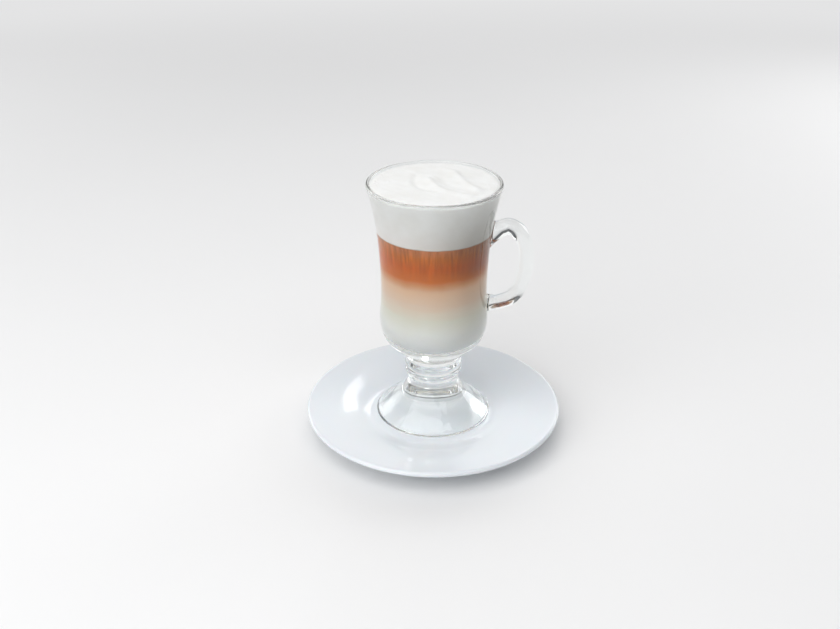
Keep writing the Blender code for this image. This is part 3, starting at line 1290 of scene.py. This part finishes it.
    def foam(self) -> Surface:
        """The foam: its side follows the wall up to an edge that is a little lower in front than behind.

        Its top is a fine polar grid, lifted by the relief.

        Going round by the angle a, the edge dips below the foam's own level by dip - lean sin a. The top
        starts at that edge and rises to its level as 1 - e^(-d / curl), with d the distance from the wall.

        Returns:
            The closed surface.
        """
        angles = np.arange(self.foam_columns) * FULL_TURN / self.foam_columns
        dip = self.edge_dip - self.edge_lean * np.sin(angles)
        line = self.wall(self.coffee_top, self.bowl.height, self.foam_wall_points)
        rows = np.linspace(0.0, 1.0, self.foam_rows)[:, None]
        side_height = self.coffee_top + (self.foam_level - dip - self.coffee_top) * rows
        side_radius = np.interp(side_height, line[:, 1], line[:, 0])
        floor_radius = side_radius[0] * self.disc_shares[:, None]
        edge = side_radius[-1]
        top_radius = edge * (1 - np.linspace(0.0, 1.0, self.top_rings)[1:-1, None] ** self.crowding)
        x, y = (np.append(top_radius * way(angles), 0.0) for way in (np.cos, np.sin))
        reach = float(edge.mean())
        calm = np.clip(1 - (np.hypot(x, y) / reach) ** self.calm_power, 0.0, 1.0)
        lift = self.relief(x, y, reach) + self.edge_bubbles(x, y, reach) + calm * self.small_waves(x, y)
        top_height = self.foam_level + lift[:-1].reshape(top_radius.shape)
        top_height -= dip * np.exp(-(edge - top_radius) / self.curl)
        return around(
            np.vstack([floor_radius, side_radius, top_radius]),
            np.vstack([np.full_like(floor_radius, self.coffee_top), side_height, top_height]),
            (self.coffee_top, self.foam_level + lift[-1]),
        )

    def build(self, finishes: dict[Slot, Material], stand: np.ndarray) -> list[bpy.types.Object]:
        """Builds and dresses the three layers.

        Args:
            finishes: the material for each layer's slot.
            stand: where the mug's axis meets the plane it stands on.

        Returns:
            The layers, from the bottom up.
        """
        milk = self.layer(0.0, self.milk_top, self.milk_rows)
        coffee = self.layer(self.milk_top, self.coffee_top, self.coffee_rows)
        layers = (
            (milk, "steamed_milk", Slot.STEAMED_MILK, "milk_layer"),
            (coffee, "coffee", Slot.COFFEE, "coffee_layer"),
            (self.foam(), "milk_foam_top", Slot.MILK_FOAM, "milk_foam"),
        )
        return [
            dress(surface.moved(stand).to_object(name), finishes[slot], slot, node)
            for surface, name, slot, node in layers
        ]


def set_facing(
    made: bpy.types.Object, aim: Place, azimuth_deg: float, elevation_deg: float, distance: float
) -> None:
    """Puts a camera or a lamp into the scene, at a distance from a place and facing it.

    Args:
        made: the camera or lamp.
        aim: the place, in metres.
        azimuth_deg: the way to it round the place, from the photograph's side towards +X.
        elevation_deg: how high it stands.
        distance: how far it is from the place.
    """
    bpy.context.scene.collection.objects.link(made)
    turn, rise = math.radians(azimuth_deg), math.radians(elevation_deg)
    flat = distance * math.cos(rise)
    made.location = (
        aim[0] + flat * math.sin(turn),
        aim[1] - flat * math.cos(turn),
        aim[2] + distance * math.sin(rise),
    )
    made.rotation_euler = (math.pi / 2 - rise, 0.0, turn)


@dataclass
class PhotoCamera:
    """The camera at the photograph's viewing angle, fitted to the ellipses of rim, foot and saucer."""

    distance: float = 0.609
    elevation_deg: float = 27.106
    aim: Place = (-0.0081, 0.0, 0.07402)
    focal_mm: float = 44.31
    sensor_mm: float = 36.0

    def build(self) -> None:
        """Places the camera in front of the object, looking along +Y and down."""
        lens = bpy.data.cameras.new("photo_camera")
        lens.sensor_width = self.sensor_mm
        lens.lens = self.focal_mm
        lens.clip_start = 0.01
        made = bpy.data.objects.new("photo_camera", lens)
        set_facing(made, self.aim, 0.0, self.elevation_deg, self.distance)
        bpy.context.scene.camera = made


@dataclass(frozen=True)
class SoftBox:
    """An area lamp that faces the drink: size wide, and as much taller as its stretch says."""

    name: str
    azimuth_deg: float
    elevation_deg: float
    distance: float
    size: float
    power: float
    stretch: float = 1.0
    mirrored: bool = True

    def build(self, aim: Place) -> None:
        """Hangs the lamp so that it faces a place.

        Args:
            aim: the place, in metres.
        """
        lamp = bpy.data.lights.new(self.name, "AREA")
        lamp.shape = "RECTANGLE"
        lamp.size = self.size
        lamp.size_y = self.size * self.stretch
        lamp.energy = self.power
        made = bpy.data.objects.new(self.name, lamp)
        set_facing(made, aim, self.azimuth_deg, self.elevation_deg, self.distance)
        made.visible_glossy = self.mirrored
        made.visible_transmission = self.mirrored


@dataclass
class Studio:
    """The pale floor, the surround and the lamps. A reach is given along a unit direction."""

    floor_size: float = 12.0
    far_side: Colour = (1.0, 1.0, 1.0)
    near_side: Colour = (0.11, 0.115, 0.12)
    near_reach: Range = (0.6, 0.15)
    ceiling: Colour = (0.10, 0.10, 0.105)
    ceiling_reach: Range = (0.45, 0.62)
    horizon: Colour = (0.08, 0.085, 0.09)
    horizon_reach: Range = (0.22, 0.16)
    glass_bounces: int = 24
    glossy_bounces: int = 16
    brightest_bounce: float = 6.0
    lamps: tuple[SoftBox, ...] = (
        SoftBox("key_left", -40.0, 54.0, 1.3, 1.5, 12.0),
        SoftBox("fill_right", 40.0, 52.0, 1.5, 0.45, 1.0),
        SoftBox("window_behind", 170.6, 32.8, 1.466, 0.13, 0.45, stretch=2.7),
        SoftBox("edge_left", -132.0, 14.0, 1.2, 0.5, 0.9),
        SoftBox("edge_right", 131.0, 15.0, 1.2, 0.5, 2.5),
        SoftBox("behind_top", 165.0, 60.0, 1.6, 1.6, 3.4, mirrored=False),
        SoftBox("far_floor", 180.0, 42.0, 2.7, 2.4, 9.0, mirrored=False),
        SoftBox("broad_top", 12.0, 72.0, 1.6, 2.2, 5.0, mirrored=False),
        SoftBox("low_front", -34.0, 12.0, 1.2, 1.2, 7.0, mirrored=False),
    )

    def floor(self, finish: Material) -> None:
        """Lays a flat sheet under the saucer.

        Args:
            finish: its material.
        """
        half = self.floor_size / 2 / MM
        corners = np.array([(-half, -half, 0.0), (half, -half, 0.0), (half, half, 0.0), (-half, half, 0.0)])
        made = Surface(corners, np.array([[0, 1, 2, 3]])).to_object("floor")
        made.data.materials.append(finish)

    def surround(self) -> None:
        """A world like a light tent, by the direction looked in: pale behind the drink, dimmer on the
        camera's side, overhead and along the horizon. Looked at directly it is an even backdrop."""
        world = bpy.data.worlds.new("studio_surround")
        world.use_nodes = True
        graph = NodeGraph(world.node_tree)
        looked_in = graph.add("TexCoord").outputs["Generated"]
        way = graph.add("VectorMath", {0: looked_in}, operation="NORMALIZE").outputs[0]
        parts = graph.parts(way)
        colour = self.far_side
        for along, reach, tone in (
            (parts["Y"], self.near_reach, self.near_side),
            (parts["Z"], self.ceiling_reach, self.ceiling),
            (parts["Z"], self.horizon_reach, self.horizon),
        ):
            colour = graph.mix(graph.mapped(along, reach, smooth=True), colour, tone)
        colour = graph.mix(graph.lit("Is Camera Ray"), colour, PaleFloor.backdrop)
        light = graph.add("Background", {"Color": colour, "Strength": 1.0})
        graph.add("OutputWorld", {"Surface": light.outputs[0]})
        bpy.context.scene.world = world

    def light_paths(self) -> None:
        """Lets light pass through the thick glass often enough that no edge goes black."""
        paths = bpy.context.scene.cycles
        paths.max_bounces = self.glass_bounces
        paths.glossy_bounces = self.glossy_bounces
        paths.transmission_bounces = self.glass_bounces
        paths.transparent_max_bounces = self.glass_bounces
        paths.sample_clamp_indirect = self.brightest_bounce

    def build(self, finish: Material, aim: Place) -> None:
        """Builds floor, surround and lamps, and takes plain colours for the picture.

        Args:
            finish: the floor's material.
            aim: the place that the lamps face, in metres.
        """
        self.floor(finish)
        self.surround()
        self.light_paths()
        for lamp in self.lamps:
            lamp.build(aim)
        bpy.context.scene.view_settings.view_transform = "Standard"


def mug_stand() -> np.ndarray:
    """Where the mug's axis meets the plane it stands on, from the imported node's box. The handle makes the box
    longer along X, so the rim's diameter is read along Y.

    Returns:
        The place, in millimetres.
    """
    low, high = (np.array(corner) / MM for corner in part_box("glass_mug"))
    rim_diameter = high[1] - low[1]
    return np.array([low[0] + rim_diameter / 2, (low[1] + high[1]) / 2, low[2]])


def main() -> None:
    """Builds the camera, the studio and every piece."""
    logging.basicConfig(level=logging.INFO, format="%(name)s: %(message)s")
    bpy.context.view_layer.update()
    groups = NodeGroups()
    camera = PhotoCamera()
    camera.build()
    Studio().build(PaleFloor().build(groups), camera.aim)
    stand = mug_stand()
    base = float(stand[2])
    finishes = {
        Slot.STEAMED_MILK: MILK.build(groups, base),
        Slot.COFFEE: COFFEE.build(groups, base),
        Slot.MILK_FOAM: FoamFinish().build(groups),
    }
    pieces = [
        Saucer().build(Porcelain().build(groups)),
        GlassMug().build(ClearGlass().build(groups), stand),
        *Drink().build(finishes, stand),
    ]
    for piece in pieces:
        log.info("%s: %d faces", piece.name, len(piece.data.polygons))


if __name__ == "__main__":
    main()
